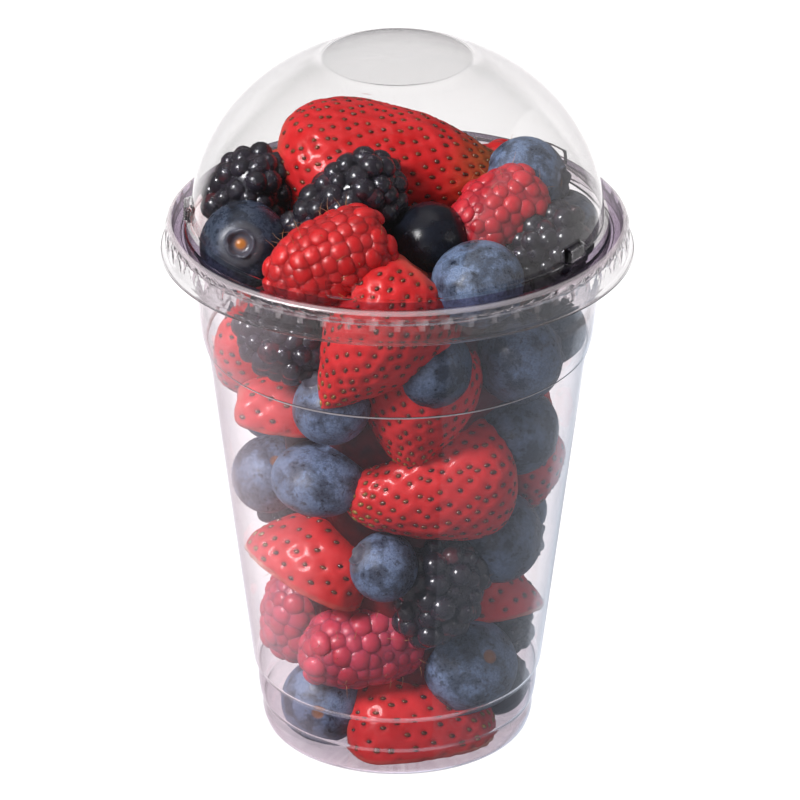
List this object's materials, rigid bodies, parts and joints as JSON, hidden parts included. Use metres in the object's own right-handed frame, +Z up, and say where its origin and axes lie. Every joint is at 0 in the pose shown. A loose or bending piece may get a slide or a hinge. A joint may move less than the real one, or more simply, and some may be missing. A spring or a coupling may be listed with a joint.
{
  "type": "fruit cup",
  "caption": "Clear plastic cup with a shut domed lid, filled with strawberries, blueberries, raspberries and dark bramble berries.",
  "frame": {"origin": "centre of the cup's foot, on the surface it stands on", "axes": "+Z up along the cup's axis, -Y towards the front, +X to the right as seen from the front"},
  "size_m": [0.1008, 0.1008, 0.1569],
  "materials": {
    "clear_cup": "thin clear formed plastic, faintly misted inside",
    "clear_lid": "thin clear formed plastic, glossy",
    "fruit": "mixed fresh berries",
    "strawberry": "glossy dimpled red skin",
    "strawberry_seed": "small pale seeds",
    "blueberry": "dark skin under a pale waxy bloom",
    "raspberry": "moist soft red drupelets",
    "bramble": "glossy blue-black drupelets"
  },
  "bodies": {
    "root": {"cup": "clear_cup", "lid": "clear_lid", "fruit": "fruit"}
  },
  "joints": []
}
